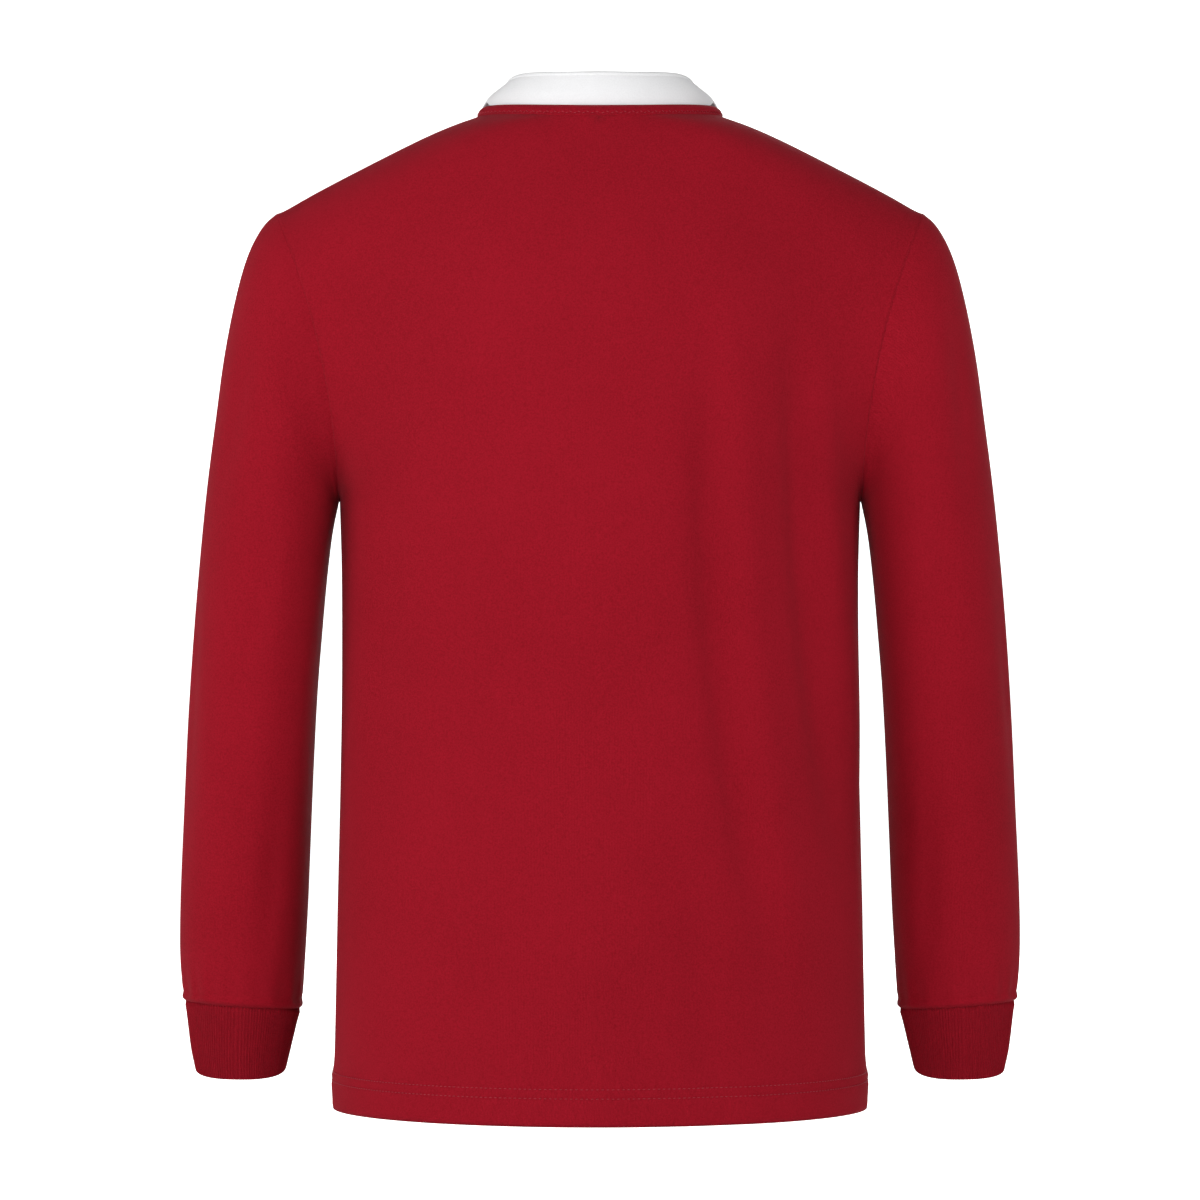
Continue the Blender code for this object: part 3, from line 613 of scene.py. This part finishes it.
def make_cloth(name, dark, light, wave_pitch, wave_turn, bump, sheen, tint, grain=900.0):
    """A cloth with a speckled colour, a wave of wales or twill lines on its UV map, and a nap."""
    material = bpy.data.materials.new(name)
    material.use_nodes = True
    tree = material.node_tree
    shader = tree.nodes["Principled BSDF"]
    shader.inputs["Roughness"].default_value = 0.92
    shader.inputs["Specular IOR Level"].default_value = 0.10
    shader.inputs["Sheen Weight"].default_value = sheen
    shader.inputs["Sheen Roughness"].default_value = 0.45
    shader.inputs["Sheen Tint"].default_value = (*tint, 1.0)
    coordinates = add_node(tree, "ShaderNodeTexCoord")
    fine = add_node(tree, "ShaderNodeTexNoise")
    fine.inputs["Scale"].default_value = grain
    fine.inputs["Detail"].default_value = 3.0
    tree.links.new(coordinates.outputs["Object"], fine.inputs["Vector"])
    broad = add_node(tree, "ShaderNodeTexNoise")
    broad.inputs["Scale"].default_value = 9.0
    tree.links.new(coordinates.outputs["Object"], broad.inputs["Vector"])
    blend = add_node(tree, "ShaderNodeMath", operation="MULTIPLY_ADD")
    tree.links.new(broad.outputs["Fac"], blend.inputs[0])
    blend.inputs[1].default_value = 0.25
    tree.links.new(fine.outputs["Fac"], blend.inputs[2])
    ramp = add_node(tree, "ShaderNodeValToRGB")
    ramp.color_ramp.elements[0].position = 0.38
    ramp.color_ramp.elements[0].color = (*dark, 1.0)
    ramp.color_ramp.elements[1].position = 0.86
    ramp.color_ramp.elements[1].color = (*light, 1.0)
    tree.links.new(blend.outputs[0], ramp.inputs["Fac"])
    tree.links.new(ramp.outputs["Color"], shader.inputs["Base Color"])
    mapping = add_node(tree, "ShaderNodeMapping")
    mapping.inputs["Rotation"].default_value = (0.0, 0.0, wave_turn)
    tree.links.new(coordinates.outputs["UV"], mapping.inputs["Vector"])
    wave = add_node(tree, "ShaderNodeTexWave", wave_type="BANDS", bands_direction="X")
    wave.inputs["Scale"].default_value = 0.314 / wave_pitch
    wave.inputs["Distortion"].default_value = 0.6
    tree.links.new(mapping.outputs["Vector"], wave.inputs["Vector"])
    height = add_node(tree, "ShaderNodeMath", operation="MULTIPLY_ADD")
    tree.links.new(wave.outputs["Fac"], height.inputs[0])
    height.inputs[1].default_value = 0.6
    tree.links.new(fine.outputs["Fac"], height.inputs[2])
    lift = add_node(tree, "ShaderNodeBump")
    lift.inputs["Strength"].default_value = bump
    lift.inputs["Distance"].default_value = 0.0004
    tree.links.new(height.outputs[0], lift.inputs["Height"])
    tree.links.new(lift.outputs["Normal"], shader.inputs["Normal"])
    return material


JERSEY_CLOTH = make_cloth(
    "red_jersey", (0.235, 0.0031, 0.0098), (0.350, 0.0067, 0.0188), 0.0011, 0.0, 0.45, 0.05,
    (1.0, 0.45, 0.5),
)
RIB_CLOTH = make_cloth(
    "red_rib", (0.195, 0.0025, 0.0080), (0.290, 0.0054, 0.0155), 0.0008, 0.0, 0.35, 0.04,
    (1.0, 0.45, 0.5),
)
TWILL_CLOTH = make_cloth(
    "white_twill", (0.88, 0.88, 0.89), (0.93, 0.93, 0.94), 0.0007, radians(30), 0.15, 0.03,
    (1.0, 1.0, 1.0),
)
THREAD = make_paint("red_thread", (0.33, 0.016, 0.032), 0.6)
BUTTON = make_paint("button_plastic", (0.82, 0.81, 0.78), 0.32)

# %% [markdown]
# ## Back and front
# Each panel is two grids, left and right of the middle, welded on the middle line: above it they part
# round the neck. The front is cut open where the placket goes.

# %% Back and front panels
LOWER_ROWS = 130
UPPER_ROWS = 72
HALF_COLUMNS = 84
PANEL_SIZE = (0.30, 0.78)


def row_climb(share):
    """Grid rows shared out between the part below the underarm and the part above it."""
    row = share * (LOWER_ROWS + UPPER_ROWS)
    climb = row / LOWER_ROWS if row <= LOWER_ROWS else 1 + (row - LOWER_ROWS) / UPPER_ROWS
    return min(climb, 2 - 1e-6)


def make_back():
    def left(x_share, y_share):
        return panel_point(1, 1 - x_share, row_climb(y_share))

    def right(x_share, y_share):
        return panel_point(1, -max(x_share, 1e-9), row_climb(y_share))

    rows = LOWER_ROWS + UPPER_ROWS
    piece = cloth_object(
        "back_panel", HALF_COLUMNS, rows, (left, right), JERSEY, JERSEY_CLOTH, PANEL_SIZE,
        relief=lambda point: panel_relief(1, point),
    )
    return dress(piece, "red_knit", "back")


def make_front():
    slit_foot = LOWER_ROWS + UPPER_ROWS * SLIT_FOOT_ROWS / 18
    slit_edges = {}

    def across(share, climb):
        key = round(min(max(climb, 1.0), 1 + FRONT_NECK_START), 6)
        if key not in slit_edges:
            slit_edges[key] = 1.0
            low, high = 0.0, 0.3
            for _ in range(18):
                middle = (low + high) / 2
                if panel_point(-1, middle, key).x < SLIT_HALF_WIDTH:
                    low = middle
                else:
                    high = middle
            slit_edges[key] = high
        first = slit_edges[key]
        column = share * HALF_COLUMNS / SLIT_COLUMNS
        if column < 1:
            return first * column
        return first + (1 - first) * (column - 1) / (HALF_COLUMNS / SLIT_COLUMNS - 1)

    def left(x_share, y_share):
        return panel_point(-1, across(x_share, row_climb(y_share)), row_climb(y_share))

    def right(x_share, y_share):
        away = max(across(1 - x_share, row_climb(y_share)), 1e-9)
        return panel_point(-1, -away, row_climb(y_share))

    def in_slit(place, middle):
        from_middle = middle.x if place is left else 1 - middle.x
        return from_middle * HALF_COLUMNS < SLIT_COLUMNS and slit_foot < middle.y * (
            LOWER_ROWS + UPPER_ROWS
        ) < LOWER_ROWS + UPPER_ROWS * (FRONT_NECK_START + 1 / 18)

    rows = LOWER_ROWS + UPPER_ROWS
    piece = cloth_object(
        "front_panel", HALF_COLUMNS, rows, (left, right), JERSEY, JERSEY_CLOTH, PANEL_SIZE,
        drop=in_slit, relief=lambda point: panel_relief(-1, point),
    )
    return dress(piece, "red_knit", "front")


SLIT_COLUMNS = 5
back_panel = make_back()
front_panel = make_front()

# %% [markdown]
# ## Sleeves and cuffs
# A sleeve is a fan of ovals: they start on the armhole, turn about the underarm and then run down the
# arm. The cloth is gathered a little into the cuff, so shallow puckers start at that seam. The cuff is
# a tube of one-by-one rib, whose wales are real ridges here.

# %% Sleeve shape
SLEEVE_COLUMNS = 144
SLEEVE_STEPS = 170
SleeveCrease = namedtuple("SleeveCrease", "turn slant middle reach width depth")
SLEEVE_CREASES = (
    SleeveCrease(2.2, 0.16, 4.2, 2.4, 0.22, 0.0030),
    SleeveCrease(1.5, 0.20, 6.8, 2.0, 0.20, 0.0020),
    SleeveCrease(2.7, -0.12, 8.6, 1.8, 0.22, 0.0022),
    SleeveCrease(1.1, 0.12, 10.6, 1.6, 0.20, 0.0022),
    SleeveCrease(4.0, 0.14, 4.6, 2.2, 0.24, 0.0030),
    SleeveCrease(4.8, -0.16, 8.2, 1.8, 0.22, 0.0026),
    SleeveCrease(5.3, 0.10, 10.8, 1.6, 0.20, 0.0022),
)
PUCKERS = 17
SEAM_ROLL = 0.0008
ALLOWANCE = 0.0022          # the sleeve's edge turns under the panel this far


def sleeve_shape(side, order, turn):
    """A point of a sleeve with its creases, its puckers and the rolled seam at the cuff."""
    last = SLEEVE_RINGS[-1].order
    point = sleeve_point(SLEEVE_RINGS, order, turn)
    ring = between(SLEEVE_RINGS, order)
    middle = Vector(((ring.outer_x + ring.inner_x) / 2, ring.middle_y,
                     (ring.outer_z + ring.inner_z) / 2))
    outward = (point - middle).normalized()
    sink = 0.0
    for crease in SLEEVE_CREASES:
        along = (order - crease.middle) / crease.reach
        away = turn - crease.turn - crease.slant * along * side
        sink += crease.depth * exp(-(along ** 2) * 2) * exp(-((away / crease.width) ** 2))
    to_seam = (last - order) * 0.034
    wave = sin(PUCKERS * turn + 1.3 * sin(3 * turn)) + 0.5 * sin(7 * turn + 2.0)
    sink += 0.0005 * wave * exp(-((to_seam - 0.012) / 0.016) ** 2) * smooth_step(0, 0.006, to_seam)
    roll = SEAM_ROLL * exp(-(((to_seam - 0.0035) / 0.0022) ** 2))
    roll -= 0.0004 * exp(-(((to_seam - 0.0085) / 0.0020) ** 2))
    tuck = 0.0018 * (1 - smooth_step(0.0, 0.0022, to_seam))
    seam = 0.0005 * exp(-(((order - 0.45) / 0.35) ** 2))
    return point + outward * (roll + seam - tuck - sink)


def tucked_point(turn):
    """The edge of a sleeve, turned under the edge of the panel that it is sewn to."""
    if turn <= SHOULDER_SEAM_TURN:
        panel, climb = 1, turn / SHOULDER_SEAM_TURN
    else:
        panel, climb = -1, (2 * pi - turn) / (2 * pi - SHOULDER_SEAM_TURN)
    edge = strip_point(panel, min(climb, 0.999), 0.0)
    onward = (strip_point(panel, min(climb, 0.999), 0.02) - edge).normalized()
    into_hole = ((UNDERARM + SHOULDER_TIP) / 2 - edge).normalized()
    return edge + onward * ALLOWANCE + into_hole * JERSEY / 2


def make_sleeve(name, side):
    last = SLEEVE_RINGS[-1].order
    crowded = 0.12         # this share of the rows, next to the cuff, lies closer together

    def place(x_share, y_share):
        turn = 2 * pi * (x_share if side < 0 else 1 - x_share)
        share = y_share * SLEEVE_STEPS / (SLEEVE_STEPS - 1)
        if share < crowded:
            share = crowded * (share / crowded) ** 1.6
        if y_share > 1 - 0.5 / SLEEVE_STEPS:
            point = tucked_point(turn)
        else:
            point = sleeve_shape(side, last - (last - ARMHOLE_ORDER) * min(share, 1.0), turn)
        return Vector((point.x * side, point.y, point.z))

    piece = cloth_object(
        name + "_cloth", SLEEVE_COLUMNS, SLEEVE_STEPS, (place,), JERSEY, JERSEY_CLOTH, (0.34, 0.58)
    )
    return dress(piece, "red_knit", name)


for name, side in (("sleeve_left", 1), ("sleeve_right", -1)):
    sleeve = make_sleeve(name, side)

# %% Ribbed cuffs
RIB_WALES = 128
RIB_HEIGHT = 0.00028
CUFF_SWELL = 0.0012        # the cuff swells this much to meet the sleeve's seam
CUFF_TUCK = 0.0024         # its upper edge goes this far up inside the sleeve
CUFF_FACE_ROWS = 20        # rows down the outside, round the folded edge and up the inside
CUFF_FOLD_ROWS = 6
CUFF_LINING_ROWS = 8
CUFF_ROWS = CUFF_FACE_ROWS + CUFF_FOLD_ROWS + CUFF_LINING_ROWS + 1


def cuff_shape(order, turn, inward, rib):
    """A point of a cuff, sunk inward from its face, with its share of the rib's height."""
    point = sleeve_point(CUFF_RINGS, order, turn)
    ring = between(CUFF_RINGS, order)
    middle = Vector(((ring.outer_x + ring.inner_x) / 2, ring.middle_y,
                     (ring.outer_z + ring.inner_z) / 2))
    outward = (point - middle).normalized()
    inward -= CUFF_SWELL * exp(-order / 0.35)
    tucked = 1 - smooth_step(0.0, 0.1, order)
    up_inside = (Vector((0.0, 0.0, 1.0)) - outward * 0.5) * CUFF_TUCK * tucked
    return point + up_inside + outward * (rib * RIB_HEIGHT * cos(RIB_WALES * turn) - inward)


def cuff_place(order_share, turn):
    """A walk down the face, round the folded edge, up the lining and back to the start."""
    last = CUFF_RINGS[-1].order
    row = order_share * CUFF_ROWS
    fold = last * 0.985
    if row <= CUFF_FACE_ROWS:
        return cuff_shape(fold * row / CUFF_FACE_ROWS, turn, RIB_HEIGHT, 1.0)
    row -= CUFF_FACE_ROWS
    if row <= CUFF_FOLD_ROWS:
        angle = pi * row / CUFF_FOLD_ROWS
        order = fold + (last - fold) * sin(angle)
        return cuff_shape(order, turn, RIB_HEIGHT + RIB / 2 * (1 - cos(angle)), 1.0 - 0.5 * sin(angle))
    row -= CUFF_FOLD_ROWS
    if row <= CUFF_LINING_ROWS:
        share = row / CUFF_LINING_ROWS
        return cuff_shape(fold * (1 - share), turn, RIB_HEIGHT + RIB, 1.0 - share)
    return cuff_shape(0.0, turn, RIB_HEIGHT, 1.0)


def make_cuff(name, side):
    def place(x_share, y_share):
        turn = 2 * pi * (x_share if side > 0 else 1 - x_share)
        point = cuff_place(y_share, turn)
        return Vector((point.x * side, point.y, point.z))

    piece = cloth_object(
        name + "_rib", RIB_WALES * 6, CUFF_ROWS, (place,), 0.0, RIB_CLOTH, (0.24, 0.11)
    )
    return dress(piece, "red_rib", name)


for name, side in (("cuff_left", 1), ("cuff_right", -1)):
    cuff = make_cuff(name, side)

# %% [markdown]
# ## Neck binding and collar
# The binding is a narrow strip folded over the neck edge and stitched flat. The collar is one piece of
# white twill: it stands up inside the binding, folds over and falls, short at the back and into two
# leaves on the chest.

# %% Neck binding
BINDING_STEPS = 240


def neck_turn(step):
    """The turn of a step round the neck, where the strips of the panels end. 0 is the middle back."""
    if abs(step) <= 8:
        return NECK_SEAM_TURN * step / 8
    beyond = (abs(step) - 8) / 9
    return (NECK_SEAM_TURN + (pi - NECK_SEAM_TURN) * beyond) * (1 if step > 0 else -1)


def binding_point(turn, share):
    """A point on the outside of the binding, from its foot to its rounded rim."""
    low, high = neck_point(PANEL_EDGE, abs(turn)), neck_point(NECK_RIM, abs(turn))
    start = -0.10
    rise = start + (1 - start) * share
    outward = neck_frame(abs(turn))[1]
    crown = 0.0007 * sin(pi * min(max(share, 0.0), 1.0)) - 0.0012 * smooth_step(0.75, 1.0, share)
    groove = -0.0007 * exp(-(((share - 0.22) / 0.07) ** 2))
    point = low + (high - low) * rise + outward * (BINDING_PROUD + crown + groove)
    if turn < 0:
        point.x = -point.x
    return point


def make_binding():
    def place(x_share, y_share):
        return binding_point(neck_turn(16 * (1 - 2 * x_share)), y_share)

    piece = cloth_object(
        "binding_strip", BINDING_STEPS, 16, (place,), BINDING, JERSEY_CLOTH, (0.45, 0.012)
    )
    return dress(piece, "red_knit", "neck_binding")


binding = make_binding()

# %% Collar
def fall_edge(turn, section, tucked):
    """The free edge of the fall at a turn: tucked behind the rim, or laid on the chest."""
    if section.lay <= 0.0:
        return tucked
    share = max(pi - turn, 0.0) / (pi - NECK_SEAM_TURN)
    climb = 1 + FRONT_NECK_START + (1 - FRONT_NECK_START) * min(share, 1.0) - section.drop
    step = 0.004
    point = panel_point(-1, section.spread, climb)
    upward = panel_point(-1, section.spread, climb + step) - point
    sideways = panel_point(-1, section.spread + step, climb) - point
    laid = point + sideways.cross(upward).normalized() * COLLAR_LIFT
    return tucked * (1 - section.lay) + laid * section.lay


def collar_point(turn, row):
    """A point on the middle of the collar cloth: row 0 at the foot of the stand, 8 at the free edge."""
    section = between(COLLAR_SECTIONS, abs(turn) * 180 / pi)
    rim, outward = neck_frame(abs(turn))

    def beside_rim(out, up):
        return rim + outward * out + Vector((0.0, 0.0, up))

    fold_low = section.fold_up - FOLD_RADIUS
    if row <= 2:
        stops = (COLLAR_FOOT, COLLAR_BEND, (section.fold_out - FOLD_RADIUS, fold_low))
        low = min(int(row), 1)
        start, end = beside_rim(*stops[low]), beside_rim(*stops[low + 1])
        point = start + (end - start) * (row - low)
    elif row <= 4:
        angle = pi * (row - 2) / 2
        point = beside_rim(
            section.fold_out - FOLD_RADIUS * cos(angle), fold_low + FOLD_RADIUS * sin(angle)
        )
    else:
        share = (row - 4) / 4
        start = beside_rim(section.fold_out + FOLD_RADIUS, fold_low)
        bow = beside_rim(section.bow_out, section.bow_up)
        end = fall_edge(abs(turn), section, beside_rim(section.edge_out, section.edge_up))
        point = start * (1 - share) ** 2 + bow * 2 * share * (1 - share) + end * share ** 2
    if turn < 0:
        point.x = -point.x
    return point


def make_collar():
    def place(x_share, y_share):
        turn = neck_turn(17 * (1 - 2 * x_share))
        turn = min(max(turn, -COLLAR_END), COLLAR_END)
        return collar_point(turn, 8 * y_share)

    piece = cloth_object(
        "collar_twill", 260, 96, (place,), TWILL, TWILL_CLOTH, (0.50, 0.09), offset=0.0
    )
    return dress(piece, "white_twill", "collar")


collar = make_collar()

# %% [markdown]
# ## Placket and buttons
# The two strips close the slit in the front, the upper one over the under one. The buttons are turned
# discs with a raised rim and four holes' worth of sunk middle.

# %% Placket strips
def front_at(x, climb):
    """The point of the front panel that lies x from the middle on the row at a climb, and its normal."""
    low, high = 0.0, 1.0
    for _ in range(20):
        middle = (low + high) / 2
        if panel_point(-1, middle, climb).x < abs(x):
            low = middle
        else:
            high = middle
    across = low if x >= 0 else -low
    step = 0.004
    point = panel_point(-1, across, climb)
    upward = panel_point(-1, across, climb + step) - panel_point(-1, across, climb - step)
    sideways = panel_point(-1, across + step, climb) - panel_point(-1, across - step, climb)
    return point, sideways.cross(upward).normalized()


SLIT_FOOT_CLIMB = 1 + SLIT_FOOT_ROWS / 18
NECK_CLIMB = 1 + FRONT_NECK_START
TO_RIM = neck_point(NECK_RIM, pi) - neck_point(PANEL_EDGE, pi)


def placket_point(x, climb, lift, beyond):
    point, normal = front_at(x, climb - 0.004)
    return point + normal * (lift + BINDING_PROUD * 2.5 * beyond) + TO_RIM * beyond, normal


def make_placket(node, half_width, lift, foot_climb, thickness):
    rows = 56

    def place(x_share, y_share):
        row = min(y_share / 0.95, 1.0)
        climb = foot_climb + (NECK_CLIMB - foot_climb) * row
        beyond = max((y_share - 0.95) / 0.05, 0.0)
        x = (2 * x_share - 1) * half_width
        point, normal = placket_point(x, climb, lift, beyond)
        from_edge = half_width * (1 - abs(2 * x_share - 1))
        groove = 0.0005 * exp(-(((from_edge - 0.0035) / 0.0010) ** 2))
        soft = 0.0009 * exp(-((from_edge / 0.0010) ** 2))
        return point - normal * (groove + soft)

    piece = cloth_object(
        node + "_strip", 32, rows, (place,), thickness, JERSEY_CLOTH, (2 * half_width, 0.16)
    )
    return dress(piece, "red_knit", node)


upper = make_placket(
    "placket_upper", PLACKET_HALF_WIDTH, 2 * SEAM_GAP + PLACKET_THICKNESS,
    SLIT_FOOT_CLIMB - 1 / 18, PLACKET_THICKNESS,
)
under = make_placket(
    "placket_under", SLIT_HALF_WIDTH - SEAM_GAP, 0.0, SLIT_FOOT_CLIMB + 0.012, JERSEY
)

# %% Buttons
BUTTON_PROFILE = ((0.0, 0.30), (0.55, 0.30), (0.70, 0.42), (0.86, 0.50), (1.0, 0.30), (1.0, -0.35),
                  (0.9, -0.5), (0.0, -0.5))


def make_button(number, climb):
    """A turned disc: a dished middle, a rounded rim and a flat underside."""
    point, normal = front_at(0.0, climb)
    mesh = bmesh.new()
    verts = [
        mesh.verts.new((r * BUTTON_RADIUS, 0.0, h * BUTTON_THICKNESS)) for r, h in BUTTON_PROFILE
    ]
    edges = [mesh.edges.new(pair) for pair in zip(verts, verts[1:])]
    bmesh.ops.spin(
        mesh, geom=verts + edges, cent=(0, 0, 0), axis=(0, 0, 1), angle=2 * pi, steps=40,
        use_merge=True,
    )
    bmesh.ops.remove_doubles(mesh, verts=mesh.verts, dist=0.00001)
    bmesh.ops.recalc_face_normals(mesh, faces=mesh.faces)
    lift = 3 * SEAM_GAP + PLACKET_THICKNESS + BUTTON_THICKNESS / 2
    turn = normal.to_track_quat("Z", "Y").to_matrix().to_4x4()
    bmesh.ops.transform(mesh, matrix=Matrix.Translation(point + normal * lift) @ turn, verts=mesh.verts)
    data = bpy.data.meshes.new(f"button_disc_{number}")
    mesh.to_mesh(data)
    mesh.free()
    data.shade_smooth()
    data.materials.append(BUTTON)
    disc = bpy.data.objects.new(f"button_disc_{number}", data)
    bpy.context.scene.collection.objects.link(disc)
    return dress(disc, "button_plastic", f"button_{number}")


for number, climb in enumerate(BUTTON_CLIMBS, start=1):
    make_button(number, climb)

# %% [markdown]
# ## Stitches
# A row of stitches is one mesh of many small threads, each a stretched ball of a few faces lying on
# the cloth. Only the rows that show are sewn: two round the hem and one round the binding.

# %% Rows of stitches
def sew(name, spots, radius, slot_name="red_knit"):
    """One mesh with a stitch for each spot: its middle, its direction, its length."""
    mesh = bmesh.new()
    for middle, along, length in spots:
        turn = along.to_track_quat("X", "Z").to_matrix().to_4x4()
        stretch = Matrix.Diagonal((length / 2, radius, radius, 1.0))
        bmesh.ops.create_icosphere(
            mesh, subdivisions=1, radius=1.0, matrix=Matrix.Translation(middle) @ turn @ stretch
        )
    data = bpy.data.meshes.new(name)
    mesh.to_mesh(data)
    mesh.free()
    data.shade_smooth()
    data.materials.append(THREAD)
    piece = bpy.data.objects.new(name, data)
    bpy.context.scene.collection.objects.link(piece)
    print(name, "has", len(spots), "stitches")
    return dress(piece, slot_name)


def hem_spots(side, line, pitch=0.0030):
    height = BODY_SECTIONS[0].height
    climb = line / (UNDERARM.z - height)
    count = int(0.50 / pitch)
    spots = []
    for index in range(count):
        across = 1 - 2 * (index + 0.5) / count
        here = panel_point(side, across, climb)
        ahead = panel_point(side, across - 0.002, climb)
        here += level_out(here) * (panel_relief(side, here) + 0.00015)
        ahead += level_out(ahead) * (panel_relief(side, ahead) + 0.00015)
        spots.append((here, (ahead - here).normalized(), pitch * 0.78))
    return spots


hem_stitches = []
for side in (1, -1):
    for line in HEM_LINES:
        hem_stitches += hem_spots(side, line)
sew("hem_stitches", hem_stitches, 0.00030)

binding_stitches = []
BINDING_STITCHES = 210
for index in range(BINDING_STITCHES):
    turn = neck_turn(15.9 * (1 - 2 * (index + 0.5) / BINDING_STITCHES))
    share = 0.20 if index % 2 else 0.30
    here, ahead = binding_point(turn, share), binding_point(turn - 0.01, share + (0.05 if index % 2 else -0.05))
    binding_stitches.append((here, (ahead - here).normalized(), 0.0024))
sew("binding_stitches", binding_stitches, 0.00032)
